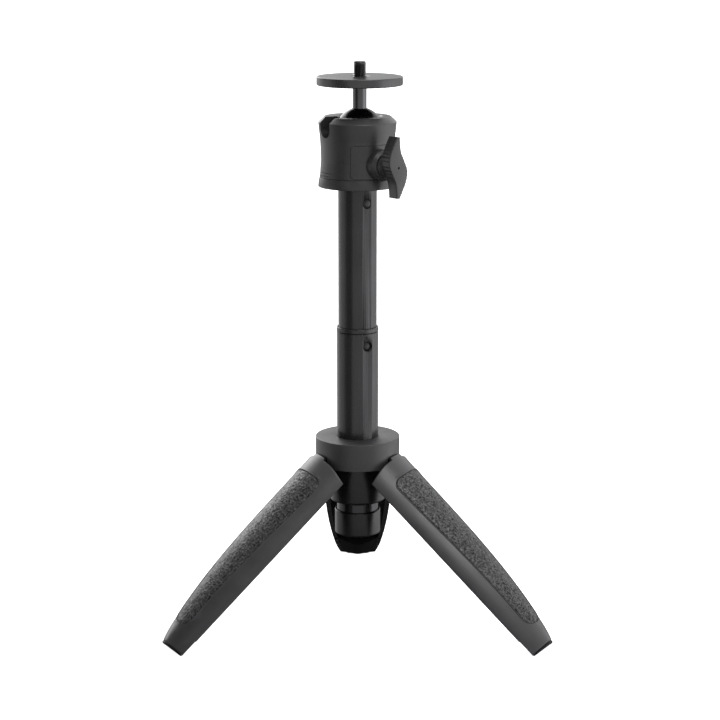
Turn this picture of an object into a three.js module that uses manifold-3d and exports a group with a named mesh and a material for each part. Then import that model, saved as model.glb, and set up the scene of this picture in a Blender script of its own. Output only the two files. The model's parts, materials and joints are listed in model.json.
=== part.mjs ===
// A small table tripod: three folding grip legs, a two-stage push-button column and a ball head
// that ends in a round camera plate with a screw stud. Millimetres, +Z up, front along -Y.
// Everything is laid out about the column's axis with the feet on z = 0. The finished group is
// then moved so that the middle of its footprint is the origin.

import * as THREE from 'three';
import { mergeVertices } from 'three/addons/utils/BufferGeometryUtils.js';
import Module from 'manifold-3d';

const wasm = await Module();
wasm.setup();

// ---------------------------------------------------------------- driving dimensions

const ROUND = 32;                 // facets round a large circle
const SMALL_ROUND = 16;           // facets round a pin, a screw or a button
const GAP = 0.3;                  // air between pieces that rest on each other
const SLIDE_GAP = 0.15;           // air round a sliding tube

const HUB = {
  radius: 19.55, bottom: 75.5, top: 88.1, bevel: 0.5,
  slotWidth: 9.3, slotTop: 81.5, lipHeight: 1.8, footBevel: 0.3,
};
const SLEEVE = { radius: 12.9, bottom: 57.4, neckRadius: 10.8, boreRadius: 10.0, round: 1.2 };
const BUSH = { bottom: 59.0, top: 71.0, wall: 0.5 };
const HINGE = { radius: 13.6, height: 78.7, pinRadius: 1.2, pinHalf: 7.2, lugRadius: 2.4, lugHalf: 3.9 };

const LEG = {
  azimuths: { rear: 90, left: 210, right: 330 },
  openAngle: 50.435,              // swing from folded flat to standing
  top: 71.0,                      // height of the side corners when folded
  length: 106.56,                 // side corner to foot end
  halfAngle: 59.5,                // three legs close into one round handle
  skin: 1.8,
  footBand: 1.1,
};
const PAD = { start: 6.0, end: 95.6, topCorner: 4.0, endCorner: 5.0, depth: 0.9, proud: 0.25 };
const LINER = { start: 1.5, end: 89.2, halfAngle: 51, thickness: 1.0, ribPitch: 11.0, rib: 1.2 };
const SOLE = { start: 89.6, nose: 1.3, clearance: 0.15, lean: 0.7 };

const LOWER_TUBE = { radius: 9.6, bottom: 43.0, top: 137.7 };
const RIM = { radius: 9.73, height: 2.0 };
const CAP = { radius: 10.65, bottom: 41.3, top: 52.7, bevel: 0.8 };
const UPPER_TUBE = { radius: 8.86, bottom: 116.3, top: 208.6, wall: 0.85 };
const GLIDE_HEIGHT = 4.0;

const BUTTON = { azimuth: -60, upper: 197.7, lower: 131.8, radius: 2.05, holeRadius: 2.4 };

const HEAD = {
  foot: 204.9, joint: 209.4, top: 236.7, topRadius: 15.05,
  ballX: 1.0, ballHeight: 229.5, ballRadius: 11.2,
  mouthRadius: 9.4, chamberRadius: 12.6, floorTop: 211.3,
  slotAzimuth: 210, slotHalf: 4.0, slotCentre: 231.6,
};
const PANEL = { from: -100.7, to: -3.0, bottom: 210.0, top: 225.0, depth: 0.4 };
const KNOB = {
  azimuth: -52, height: 216.0, collarRadius: 7.0, collarEnd: 20.6,
  hubRadius: 5.3, wingBack: 23.7, wingFace: 29.7, screwRadius: 2.6,
};

const PLATE = { radius: 19.5, bottom: 250.6, top: 254.5 };
const STUD = { stemRadius: 3.13, bottom: 232.6, threadRadius: 3.15, top: 261.2 };

// ---------------------------------------------------------------- materials

const finish = (color, roughness, metalness) => ({ color, roughness, metalness });
const LOOK = {
  shell: finish(0x3c3c3f, 0.5, 0.0),
  pad: finish(0x2c2c2e, 0.85, 0.0),
  rubber: finish(0x1a1a1b, 0.9, 0.0),
  blackPlastic: finish(0x101011, 0.45, 0.0),
  collar: finish(0x3a3a3c, 0.5, 0.0),
  tube: finish(0x38383b, 0.35, 0.7),
  housing: finish(0x38383a, 0.5, 0.0),
  knob: finish(0x38383a, 0.5, 0.0),
  ball: finish(0x050505, 0.15, 0.0),
  plate: finish(0x404043, 0.35, 0.6),
  steel: finish(0x55555a, 0.3, 0.9),
};

// ---------------------------------------------------------------- solids

const radians = THREE.MathUtils.degToRad;

/** Six times the volume inside a triangle list, negative when its faces point inwards. */
function signedVolume(points, corners) {
  const [a, b, c] = [new THREE.Vector3(), new THREE.Vector3(), new THREE.Vector3()];
  let volume = 0;
  for (let i = 0; i < corners.length; i += 3) {
    a.fromArray(points, corners[i] * 3);
    b.fromArray(points, corners[i + 1] * 3);
    c.fromArray(points, corners[i + 2] * 3);
    volume += a.dot(b.cross(c));
  }
  return volume;
}

/** Turns a closed three.js geometry into a solid that can be joined and cut. */
function solid(geometry) {
  geometry.deleteAttribute('normal');
  geometry.deleteAttribute('uv');
  const merged = mergeVertices(geometry, 1e-4);
  const points = new Float32Array(merged.attributes.position.array);
  const index = merged.index.array;
  const corners = [];
  for (let i = 0; i < index.length; i += 3) {
    const [a, b, c] = index.slice(i, i + 3);
    if (a !== b && b !== c && c !== a) corners.push(a, b, c);
  }
  if (signedVolume(points, corners) < 0) corners.reverse();
  const mesh = new wasm.Mesh({ numProp: 3, vertProperties: points, triVerts: new Uint32Array(corners) });
  return new wasm.Manifold(mesh);
}

/** The three.js geometry of a solid. */
function geometryOf(body) {
  const { vertProperties, triVerts } = body.getMesh();
  const geometry = new THREE.BufferGeometry();
  geometry.setAttribute('position', new THREE.BufferAttribute(new Float32Array(vertProperties), 3));
  geometry.setIndex(new THREE.BufferAttribute(new Uint32Array(triVerts), 1));
  geometry.computeVertexNormals();
  return geometry;
}

/** Turns [radius, height] points about Z, closing a profile that stays off the axis. */
function revolve(profile, segments = ROUND, place = new THREE.Matrix4()) {
  const points = profile.map(([radius, height]) => new THREE.Vector2(radius, height));
  if (profile[0][0] > 0) points.push(points[0].clone());
  const geometry = new THREE.LatheGeometry(points, segments).rotateX(Math.PI / 2);
  return solid(geometry.applyMatrix4(place));
}

const disc = (radius, from, to, segments, place) =>
  revolve([[0, from], [radius, from], [radius, to], [0, to]], segments, place);

const ring = (inner, outer, from, to, segments, place) =>
  revolve([[inner, from], [outer, from], [outer, to], [inner, to]], segments, place);

const ball = (radius, x, z) =>
  solid(new THREE.SphereGeometry(radius, 24, 14).rotateX(Math.PI / 2).translate(x, 0, z));

const box = (x, y, z, place = new THREE.Matrix4()) =>
  solid(new THREE.BoxGeometry(x, y, z).applyMatrix4(place));

/** A flat outline pushed from one height to another. */
function prism(shape, from, to, place = new THREE.Matrix4(), curveSegments = 6) {
  const settings = { depth: to - from, bevelEnabled: false, curveSegments };
  const geometry = new THREE.ExtrudeGeometry(shape, settings);
  return solid(geometry.translate(0, 0, from).applyMatrix4(place));
}

/** A frame on the column's axis whose Z points outwards, Y up and X to the right, seen from outside. */
function outward(azimuth, height) {
  const out = new THREE.Vector3(Math.cos(radians(azimuth)), Math.sin(radians(azimuth)), 0);
  const up = new THREE.Vector3(0, 0, 1);
  const right = new THREE.Vector3().crossVectors(up, out);
  return new THREE.Matrix4().makeBasis(right, up, out).setPosition(0, 0, height);
}

/** A closed sheet over a grid: place(column, row, layer) gives a point of its outer or inner face. */
function sheet(columns, rows, place) {
  const positions = [];
  const index = [];
  const at = (i, j, layer) => (layer * (columns + 1) + i) * (rows + 1) + j;
  const quad = (a, b, c, d) => index.push(a, b, c, a, c, d);
  for (const layer of [0, 1]) {
    for (let i = 0; i <= columns; i++) {
      for (let j = 0; j <= rows; j++) positions.push(...place(i, j, layer));
    }
  }
  for (let i = 0; i < columns; i++) {
    for (let j = 0; j < rows; j++) {
      quad(at(i, j, 0), at(i + 1, j, 0), at(i + 1, j + 1, 0), at(i, j + 1, 0));
      quad(at(i, j + 1, 1), at(i + 1, j + 1, 1), at(i + 1, j, 1), at(i, j, 1));
    }
    quad(at(i, 0, 1), at(i + 1, 0, 1), at(i + 1, 0, 0), at(i, 0, 0));
    quad(at(i, rows, 0), at(i + 1, rows, 0), at(i + 1, rows, 1), at(i, rows, 1));
  }
  for (let j = 0; j < rows; j++) {
    quad(at(0, j, 0), at(0, j + 1, 0), at(0, j + 1, 1), at(0, j, 1));
    quad(at(columns, j, 1), at(columns, j + 1, 1), at(columns, j + 1, 0), at(columns, j, 0));
  }
  const geometry = new THREE.BufferGeometry();
  geometry.setAttribute('position', new THREE.BufferAttribute(new Float32Array(positions), 3));
  geometry.setIndex(index);
  return solid(geometry);
}

const tripod = new THREE.Group();

/** Adds one named piece to a group, in a material of its own. */
function piece(name, body, look, group = tripod) {
  const mesh = new THREE.Mesh(geometryOf(body), new THREE.MeshStandardMaterial(look));
  mesh.name = name;
  group.add(mesh);
  return mesh;
}

// ---------------------------------------------------------------- hub

function hubCollar() {
  const { radius, bottom, top, bevel, footBevel } = HUB;
  const neckBore = SLEEVE.neckRadius + GAP;
  const lip = top - HUB.lipHeight;
  let body = revolve([
    [neckBore, bottom], [radius - footBevel, bottom], [radius, bottom + footBevel],
    [radius, top - bevel], [radius - bevel, top],
    [SLEEVE.boreRadius, top], [SLEEVE.boreRadius, lip], [neckBore, lip],
  ]);
  for (const azimuth of Object.values(LEG.azimuths)) {
    const turn = new THREE.Matrix4().makeRotationZ(radians(azimuth));
    const slotHeight = HUB.slotTop - bottom + 1;
    const slot = new THREE.Matrix4().makeTranslation(radius, 0, bottom - 1 + slotHeight / 2);
    const pinHole = new THREE.Matrix4().makeTranslation(HINGE.radius, 0, HINGE.height)
      .multiply(new THREE.Matrix4().makeRotationX(-Math.PI / 2));
    const half = HINGE.pinHalf + GAP;
    body = body
      .subtract(box(2 * (radius - neckBore + 1), HUB.slotWidth, slotHeight, turn.clone().multiply(slot)))
      .subtract(disc(HINGE.pinRadius + GAP, -half, half, SMALL_ROUND, turn.clone().multiply(pinHole)));
  }
  return body;
}

function hubSleeve() {
  const { radius, bottom, neckRadius, boreRadius, round } = SLEEVE;
  const shoulder = HUB.bottom - GAP;
  const neckTop = HUB.top - HUB.lipHeight - GAP;
  const bushSeat = boreRadius + BUSH.wall;
  return revolve([
    [boreRadius, bottom], [radius - round, bottom], [radius - 0.3 * round, bottom + 0.3 * round],
    [radius, bottom + round], [radius, shoulder], [neckRadius, shoulder], [neckRadius, neckTop],
    [boreRadius, neckTop], [boreRadius, BUSH.top + GAP], [bushSeat + GAP, BUSH.top + GAP],
    [bushSeat + GAP, BUSH.bottom - GAP], [boreRadius, BUSH.bottom - GAP],
  ]);
}

piece('hub_collar', hubCollar(), LOOK.collar);
piece('hub_sleeve', hubSleeve(), LOOK.blackPlastic);
const bushBore = LOWER_TUBE.radius + SLIDE_GAP;
const bushRadius = SLEEVE.boreRadius + BUSH.wall;
piece('guide_bush', ring(bushBore, bushRadius, BUSH.bottom, BUSH.top), LOOK.blackPlastic);

// ---------------------------------------------------------------- legs

/** Outer radius of the folded handle at a distance from the leg's side corner. */
function handleRadius(distance) {
  const t = (distance - 22.88) / 120;
  return 19.355 - 1.775 * t - 2.012 * t ** 2 - 15.965 * t ** 3;
}

/** A point of the folded leg: radial out along X, down the leg along -Z. */
function legPoint(distance, angle, depth) {
  const radius = handleRadius(distance) - depth;
  return [radius * Math.cos(radians(angle)), radius * Math.sin(radians(angle)), -distance];
}

// The top edge: a centre tab that enters the hub's slot, then a shoulder that falls to the corner.
const TOP_EDGE = [[0, -4.2], [12.6, -4.2], [13.4, -2.9], [28.4, -2.7], [37, -2.07], [LEG.halfAngle, 0]];

function topEdge(angle) {
  const a = Math.abs(angle);
  const k = Math.max(1, TOP_EDGE.findIndex(([corner]) => a <= corner + 1e-9));
  const [[a0, s0], [a1, s1]] = [TOP_EDGE[k - 1], TOP_EDGE[k]];
  return s0 + (s1 - s0) * (a - a0) / (a1 - a0);
}

const HALF_ANGLES = [12.6, 13.4, 28.4, 37, 48.3, LEG.halfAngle];
const SHELL_ANGLES = [...HALF_ANGLES.map((a) => -a).reverse(), 0, ...HALF_ANGLES];

/** Half the grip pad's width at a distance, with rounded corners, grown on every side. */
function padHalfWidth(distance, grow) {
  const side = 11.89 - 0.0213 * distance - 0.000438 * distance ** 2 + grow;
  const round = (past, radius) => (past > 0 ? radius - Math.sqrt(Math.max(0, radius ** 2 - past ** 2)) : 0);
  const top = round(PAD.start + PAD.topCorner - distance, PAD.topCorner + grow);
  const end = round(distance - PAD.end + PAD.endCorner, PAD.endCorner + grow);
  return side - top - end;
}

/** The pad's rows of distances, closer together round its corners. */
function padRows(grow) {
  const corner = (radius) => [1, 0.9, 0.55].map((part) => part * (radius + grow));
  const inner = PAD.start + PAD.topCorner;
  const outer = PAD.end - PAD.endCorner;
  const middle = Array.from({ length: 6 }, (_, k) => inner + (outer - inner) * k / 5);
  const top = corner(PAD.topCorner).map((past) => inner - past);
  const end = corner(PAD.endCorner).map((past) => outer + past).reverse();
  return [...top, ...middle, ...end];
}

function padBody(grow, proud, depth) {
  const rows = padRows(grow);
  const columns = 6;
  return sheet(columns, rows.length - 1, (i, j, layer) => {
    const distance = rows[j];
    const across = padHalfWidth(distance, grow) * (2 * i / columns - 1);
    const angle = THREE.MathUtils.radToDeg(Math.asin(across / handleRadius(distance)));
    return legPoint(distance, angle, layer === 0 ? -proud : depth);
  });
}

function legShell() {
  const rows = 8;
  const end = LEG.length - LEG.footBand - GAP;
  const skin = sheet(SHELL_ANGLES.length - 1, rows, (i, j, layer) => {
    const angle = SHELL_ANGLES[i];
    const start = topEdge(angle);
    return legPoint(start + (end - start) * j / rows, angle, layer * LEG.skin);
  });
  return skin.subtract(padBody(GAP, 2, PAD.depth + 0.1));
}

/** How far in the ribs reach: clear of the hub's sleeve, then of the end cap, then deeper. */
function ribReach(distance) {
  if (distance < LEG.top - SLEEVE.bottom + 6) return SLEEVE.radius + 0.5;
  const pastCap = Math.max(0, distance - 82);
  return CAP.radius + 0.9 - 0.2 * pastCap;
}

/** The black inside of a leg: a thin lining with zigzag ribs and the hinge arm. */
function legLiner() {
  const { start, end, halfAngle, thickness, ribPitch, rib } = LINER;
  const outer = LEG.skin + GAP;
  const [columns, rows] = [8, 6];
  const lining = sheet(columns, rows, (i, j, layer) => {
    const distance = start + (end - start) * j / rows;
    return legPoint(distance, halfAngle * (2 * i / columns - 1), outer + layer * thickness);
  });
  const cavity = sheet(columns, rows, (i, j, layer) => {
    const distance = start + 1 + (end - start - 2) * j / rows;
    const angle = (halfAngle - 2) * (2 * i / columns - 1);
    const depth = layer === 0 ? outer + thickness / 2 : handleRadius(distance) - ribReach(distance);
    return legPoint(distance, angle, depth);
  });
  let ribs = null;
  for (let k = 0; start + k * ribPitch < end; k++) {
    const side = k % 2 === 0 ? 1 : -1;
    const lean = Math.atan2(ribPitch, 26);
    const place = new THREE.Matrix4().makeRotationX(side * lean)
      .setPosition(12, 0, -(start + (k + 0.5) * ribPitch));
    const bar = box(24, 40, rib, place);
    ribs = ribs ? ribs.add(bar) : bar;
  }
  const drop = HINGE.height - LEG.top;
  const armOutline = new THREE.Shape([
    [13.6, drop + 2.3], [15.8, drop + 0.8], [17.2, 4.3], [17.2, -2.6], [16.2, -2.6], [16.2, 1.0],
    [13.5, 4.5], [11.9, 6.0],
  ].map(([x, z]) => new THREE.Vector2(x, z)));
  const across = new THREE.Matrix4().makeRotationX(Math.PI / 2);
  const arm = prism(armOutline, -HINGE.lugHalf, HINGE.lugHalf, across);
  const hingeAxis = new THREE.Matrix4().makeTranslation(HINGE.radius, 0, drop)
    .multiply(new THREE.Matrix4().makeRotationX(-Math.PI / 2));
  const lug = disc(HINGE.lugRadius, -HINGE.lugHalf, HINGE.lugHalf, SMALL_ROUND, hingeAxis);
  const hole = disc(HINGE.pinRadius + GAP, -HINGE.lugHalf - 1, HINGE.lugHalf + 1, SMALL_ROUND, hingeAxis);
  return lining.add(ribs.intersect(cavity)).add(arm).add(lug).subtract(hole);
}

const hingeDrop = new THREE.Vector3(-HINGE.radius, 0, LEG.top - HINGE.height);

/** The space under the floor, as a standing leg meets it, in the folded leg's frame. */
function underFloor() {
  const stand = new THREE.Matrix4().makeTranslation(HINGE.radius, 0, HINGE.height)
    .multiply(new THREE.Matrix4().makeRotationY(-radians(LEG.openAngle)))
    .multiply(new THREE.Matrix4().makeTranslation(...hingeDrop.toArray()));
  const below = new THREE.Matrix4().makeTranslation(90, 0, -10);
  return box(80, 60, 20, stand.invert().multiply(below));
}

/** A length of the sole: the leg's arc outside, and a blunt wedge that reaches in to the axis. */
function soleLength(distances, inset, tilt) {
  const [columns, rows] = [12, distances.length - 1];
  return sheet(columns, rows, (i, j, layer) => {
    const radius = handleRadius(Math.min(distances[j], LEG.length)) - inset;
    const half = radians(LEG.halfAngle) - inset / radius;
    const angle = half * (2 * i / columns - 1);
    const [x, y] = [radius * Math.cos(angle), radius * Math.sin(angle)];
    const edge = radius * Math.cos(half);
    const wedge = Math.hypot(y / Math.tan(radians(60)), SOLE.nose) + SOLE.clearance;
    const lean = j === rows ? tilt * (x - edge) / (radius - edge) : 0;
    return layer === 0 ? [x, y, -distances[j] - lean] : [Math.min(wedge, edge), y, -distances[j]];
  });
}

/** The rubber sole: a wedge that closes the leg's end, banded outside and flat where it stands. */
function legFoot() {
  const bandStart = LEG.length - LEG.footBand;
  const plug = soleLength([SOLE.start, 95, 101, bandStart + 0.1], LEG.skin + GAP, 0);
  const band = soleLength([bandStart, LEG.length], 0, SOLE.lean);
  return plug.add(band).subtract(underFloor());
}

for (const [name, azimuth] of Object.entries(LEG.azimuths)) {
  const sector = new THREE.Group();
  sector.rotation.z = radians(azimuth);
  const hinge = new THREE.Group();
  hinge.position.set(HINGE.radius, 0, HINGE.height);
  hinge.rotation.y = -radians(LEG.openAngle);
  sector.add(hinge);
  tripod.add(sector);
  const parts = [
    ['shell', legShell(), LOOK.shell],
    ['grip_pad', padBody(0, PAD.proud, PAD.depth - GAP), LOOK.pad],
    ['liner', legLiner(), LOOK.blackPlastic],
    ['foot', legFoot(), LOOK.rubber],
  ];
  for (const [part, body, look] of parts) {
    piece(`${name}_leg_${part}`, body, look, hinge).position.copy(hingeDrop);
  }
  const across = new THREE.Matrix4().makeRotationX(-Math.PI / 2);
  const pin = disc(HINGE.pinRadius, -HINGE.pinHalf, HINGE.pinHalf, SMALL_ROUND, across);
  piece(`${name}_hinge_pin`, pin, LOOK.steel, sector).position.copy(hinge.position);
}

// ---------------------------------------------------------------- column

const tubeBore = UPPER_TUBE.radius + SLIDE_GAP;
const buttonFrame = (height) => outward(BUTTON.azimuth, height);

function lowerTube() {
  const tube = ring(tubeBore, LOWER_TUBE.radius, LOWER_TUBE.bottom, LOWER_TUBE.top);
  return tube.subtract(disc(BUTTON.holeRadius, 0, 20, SMALL_ROUND, buttonFrame(BUTTON.lower)));
}

function upperTube() {
  const { radius, wall, bottom, top } = UPPER_TUBE;
  let tube = ring(radius - wall, radius, bottom, top);
  for (const height of [BUTTON.lower, BUTTON.upper]) {
    tube = tube.subtract(disc(BUTTON.radius + SLIDE_GAP, 0, 20, SMALL_ROUND, buttonFrame(height)));
  }
  return tube;
}

/** A round push button with a flange that keeps it behind the tube's wall. */
function lockButton(height) {
  const face = UPPER_TUBE.radius - 0.06;
  const flangeFace = Math.sqrt((UPPER_TUBE.radius - UPPER_TUBE.wall) ** 2 - 2.9 ** 2) - 0.15;
  return revolve([
    [0, 5.0], [1.4, 5.0], [1.4, flangeFace - 0.8], [2.9, flangeFace - 0.8], [2.9, flangeFace],
    [BUTTON.radius, flangeFace], [BUTTON.radius, face - 0.35],
    [BUTTON.radius - 0.35, face - 0.06], [0, face],
  ], SMALL_ROUND, buttonFrame(height));
}

/** The bent strip that pushes a button out, from the far wall round to the button's back. */
function clipSpring(height) {
  const route = [[4.7, 0], [4.2, -5], [2.4, -9.4], [-0.8, -10.8], [-4.0, -9.0], [-6.2, -4.6], [-7.1, 0]]
    .map(([x, y]) => new THREE.Vector2(x, y));
  const offset = (side) => route.map((point, k) => {
    const along = route[Math.min(k + 1, route.length - 1)].clone().sub(route[Math.max(k - 1, 0)]);
    return point.clone().add(new THREE.Vector2(-along.y, along.x).setLength(side * 0.25));
  });
  const strip = new THREE.Shape([...offset(1), ...offset(-1).reverse()]);
  return prism(strip, -2, 2, buttonFrame(height).multiply(new THREE.Matrix4().makeRotationY(-Math.PI / 2)));
}

function endCap() {
  const { radius, bottom, top, bevel } = CAP;
  const bore = LOWER_TUBE.radius + SLIDE_GAP;
  return revolve([
    [0, bottom], [radius - bevel, bottom], [radius, bottom + bevel], [radius, top - 0.3],
    [radius - 0.3, top], [bore, top], [bore, LOWER_TUBE.bottom - GAP], [0, LOWER_TUBE.bottom - GAP],
  ]);
}

const rimBottom = LOWER_TUBE.top + GAP;
piece('lower_tube', lowerTube(), LOOK.tube);
piece('lower_tube_rim', ring(tubeBore, RIM.radius, rimBottom, rimBottom + RIM.height), LOOK.tube);
piece('column_end_cap', endCap(), LOOK.blackPlastic);
piece('upper_tube', upperTube(), LOOK.tube);
const glideTop = UPPER_TUBE.bottom - GAP;
const glideBore = UPPER_TUBE.radius - UPPER_TUBE.wall;
const glide = ring(glideBore, UPPER_TUBE.radius, glideTop - GLIDE_HEIGHT, glideTop);
piece('upper_tube_glide', glide, LOOK.blackPlastic);
for (const level of ['upper', 'lower']) {
  piece(`${level}_lock_button`, lockButton(BUTTON[level]), LOOK.blackPlastic);
  piece(`${level}_button_spring`, clipSpring(BUTTON[level]), LOOK.steel);
}

// ---------------------------------------------------------------- head

// The waisted housing's wall, from its foot to the edge of the top bevel: [radius, height].
const HOUSING_WALL = [
  [17.15, 209.7], [17.0, 211.4], [16.6, 216.5], [16.65, 221.0], [16.95, 226.5], [17.8, 234.2],
];

function housingRadius(height) {
  const k = Math.max(1, HOUSING_WALL.findIndex(([, z]) => height <= z));
  const [[r0, z0], [r1, z1]] = [HOUSING_WALL[k - 1], HOUSING_WALL[k]];
  return r0 + (r1 - r0) * (height - z0) / (z1 - z0);
}

/** The shallow panel round the knob, as the body that is cut away. */
function panelCut() {
  const levels = [PANEL.bottom, 211.4, 216.5, 221.0, PANEL.top];
  return sheet(10, levels.length - 1, (i, j, layer) => {
    const angle = radians(PANEL.from + (PANEL.to - PANEL.from) * i / 10);
    const radius = housingRadius(levels[j]) + (layer === 0 ? 2 : -PANEL.depth);
    return [radius * Math.cos(angle), radius * Math.sin(angle), levels[j]];
  });
}

function ballHousing() {
  const { top, topRadius, ballX, ballHeight, ballRadius, mouthRadius, slotHalf, slotCentre } = HEAD;
  const shift = new THREE.Matrix4().makeTranslation(ballX, 0, 0);
  const slotFrame = shift.clone().multiply(outward(HEAD.slotAzimuth, slotCentre));
  const slotTop = new THREE.Matrix4().makeTranslation(0, 6, 14);
  return revolve([[0, HOUSING_WALL[0][1]], ...HOUSING_WALL, [topRadius, top], [0, top]])
    .subtract(ball(ballRadius + 0.4, ballX, ballHeight))
    .subtract(disc(mouthRadius, top - 4, top + 1, 32, shift))
    .subtract(disc(HEAD.chamberRadius, HEAD.floorTop, ballHeight - 5))
    .subtract(disc(3.3, HEAD.joint - 1, HEAD.floorTop + 1, SMALL_ROUND))
    .subtract(disc(KNOB.screwRadius + GAP, 8, 20, SMALL_ROUND, outward(KNOB.azimuth, KNOB.height)))
    .subtract(disc(slotHalf, 2, 26, 20, slotFrame))
    .subtract(box(2 * slotHalf, 12, 24, slotFrame.clone().multiply(slotTop)))
    .subtract(panelCut());
}

/** The fixed foot: a flared ring on the tube's end, hollowed below to take the lower tube's rim. */
function headFoot() {
  const { foot, joint } = HEAD;
  const bore = UPPER_TUBE.radius + 0.1;
  const recess = RIM.radius + 0.4;
  return revolve([
    [recess, foot], [17.6, foot], [17.9, foot + 0.3], [17.75, foot + 2], [17.25, joint],
    [bore, joint], [bore, foot + 1.3], [recess, foot + 1.3],
  ]);
}

function ballSeat() {
  const { ballX, ballHeight, ballRadius, chamberRadius } = HEAD;
  return ring(4.6, chamberRadius - GAP, ballHeight - 10.3, ballHeight - 6)
    .subtract(ball(ballRadius + GAP, ballX, ballHeight));
}

const plugRadius = UPPER_TUBE.radius - UPPER_TUBE.wall - SLIDE_GAP;
const boltRadius = 2.8;
piece('head_foot', headFoot(), LOOK.housing);
piece('tube_top_plug', ring(boltRadius + GAP, plugRadius, 201.2, 209.2), LOOK.blackPlastic);
piece('pan_bolt', revolve([[0, 203], [boltRadius, 203], [boltRadius, HEAD.floorTop + GAP],
  [4.6, HEAD.floorTop + GAP], [4.6, 213.0], [0, 213.0]], 24), LOOK.steel);
piece('ball_housing', ballHousing(), LOOK.housing);
piece('ball_seat', ballSeat(), LOOK.blackPlastic);

// ---------------------------------------------------------------- knob

const knobFrame = outward(KNOB.azimuth, KNOB.height);

/** One side of the two-winged outline, from the lower tip's corner to the upper tip's corner. */
const WING_SIDE = [
  [0.7, -13.8], [2.6, -10.6], [4.6, -6.2], [5.3, -1.6], [3.6, 2.9], [1.5, 7.4], [0.8, 13.8],
];

function knobWing() {
  const outline = new THREE.Shape();
  const side = WING_SIDE.map(([x, y]) => new THREE.Vector2(x, y));
  outline.moveTo(...WING_SIDE[0]);
  outline.splineThru(side.slice(1));
  outline.lineTo(-WING_SIDE[0][0], -WING_SIDE[0][1]);
  outline.splineThru(side.slice(1).map((p) => p.clone().negate()));
  outline.closePath();
  const hub = disc(KNOB.hubRadius, KNOB.collarEnd + GAP, KNOB.wingBack + 1, 24, knobFrame);
  const bore = disc(KNOB.screwRadius + 0.1, KNOB.collarEnd, KNOB.wingBack + 2.3, SMALL_ROUND, knobFrame);
  return prism(outline, KNOB.wingBack, KNOB.wingFace, knobFrame, 3).add(hub).subtract(bore);
}

/** The round collar on the housing that the knob turns against, cut to the housing's wall. */
function knobCollar() {
  const collar = revolve([
    [KNOB.screwRadius + GAP, 13.5], [KNOB.collarRadius, 13.5], [KNOB.collarRadius, 18.6],
    [KNOB.collarRadius - 1.3, KNOB.collarEnd], [KNOB.screwRadius + GAP, KNOB.collarEnd],
  ], 24, knobFrame);
  const wall = HOUSING_WALL.map(([radius, height]) => [radius + 0.1, height]);
  return collar.subtract(revolve([[0, 205], [18, 205], ...wall, [0, 234.2]]));
}

piece('knob_collar', knobCollar(), LOOK.knob);
piece('knob_wing', knobWing(), LOOK.knob);
piece('knob_screw', revolve([[0, 7.2], [1.5, 7.2], [1.5, 13.0], [KNOB.screwRadius, 13.0],
  [KNOB.screwRadius, KNOB.wingBack + 2], [0, KNOB.wingBack + 2]], SMALL_ROUND, knobFrame), LOOK.steel);
piece('brake_wedge', revolve([[1.8, 6.2], [2.2, 6.2], [2.8, 7.4], [2.8, 11.8], [1.8, 11.8]],
  SMALL_ROUND, knobFrame), LOOK.blackPlastic);

// ---------------------------------------------------------------- ball and camera plate

const ballAxis = new THREE.Matrix4().makeTranslation(HEAD.ballX, 0, 0);
const socket = disc(STUD.stemRadius + 0.2, STUD.bottom - GAP, HEAD.ballHeight + 20, 24, ballAxis);
piece('ball', ball(HEAD.ballRadius, HEAD.ballX, HEAD.ballHeight).subtract(socket), LOOK.ball);
const plateBore = STUD.threadRadius + 0.2;
piece('camera_plate', ring(plateBore, PLATE.radius, PLATE.bottom, PLATE.top, 48, ballAxis), LOOK.plate);
piece('camera_stud', revolve([
  [0, STUD.bottom], [STUD.stemRadius, STUD.bottom], [STUD.threadRadius, PLATE.top],
  [STUD.threadRadius, STUD.top - 0.5], [STUD.threadRadius - 0.5, STUD.top], [0, STUD.top],
], 24, ballAxis), LOOK.steel);

// ---------------------------------------------------------------- origin: middle of the footprint

const extent = new THREE.Box3().setFromObject(tripod, true);
tripod.position.set(-(extent.min.x + extent.max.x) / 2, -(extent.min.y + extent.max.y) / 2, -extent.min.z);

export default tripod;
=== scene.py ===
"""A small table tripod with a ball head: detailed meshes, materials, light and camera.

Every piece is drawn in millimetres in one of three places: about the column's axis, about the
knob's axis, or in a folded leg's own frame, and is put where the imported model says.
"""

import json
import math

import bmesh
import bpy
import numpy as np
from mathutils import Matrix, Vector, noise


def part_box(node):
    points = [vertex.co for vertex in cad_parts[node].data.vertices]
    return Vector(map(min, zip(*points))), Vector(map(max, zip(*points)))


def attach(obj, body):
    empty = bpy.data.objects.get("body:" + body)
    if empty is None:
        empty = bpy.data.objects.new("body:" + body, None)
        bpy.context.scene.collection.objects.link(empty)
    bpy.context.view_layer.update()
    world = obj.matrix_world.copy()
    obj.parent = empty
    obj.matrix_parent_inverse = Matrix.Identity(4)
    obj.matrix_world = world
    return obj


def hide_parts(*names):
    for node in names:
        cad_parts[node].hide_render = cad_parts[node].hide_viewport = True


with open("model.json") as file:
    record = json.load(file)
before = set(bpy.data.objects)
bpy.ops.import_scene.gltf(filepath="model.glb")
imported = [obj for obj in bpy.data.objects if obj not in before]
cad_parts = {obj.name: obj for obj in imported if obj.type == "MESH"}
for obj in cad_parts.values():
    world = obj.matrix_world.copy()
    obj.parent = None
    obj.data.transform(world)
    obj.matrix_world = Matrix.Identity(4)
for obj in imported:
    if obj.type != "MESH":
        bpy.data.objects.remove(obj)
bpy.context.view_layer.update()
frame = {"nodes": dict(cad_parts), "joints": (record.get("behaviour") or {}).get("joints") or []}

# ---------------- places, from the frame

MM = 0.001
JOINTS = {joint["name"]: joint for joint in frame["joints"]}


def low(node):
    """A node's lowest height, in millimetres."""
    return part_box(node)[0].z / MM


def high(node):
    """A node's highest height, in millimetres."""
    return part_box(node)[1].z / MM


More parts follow.
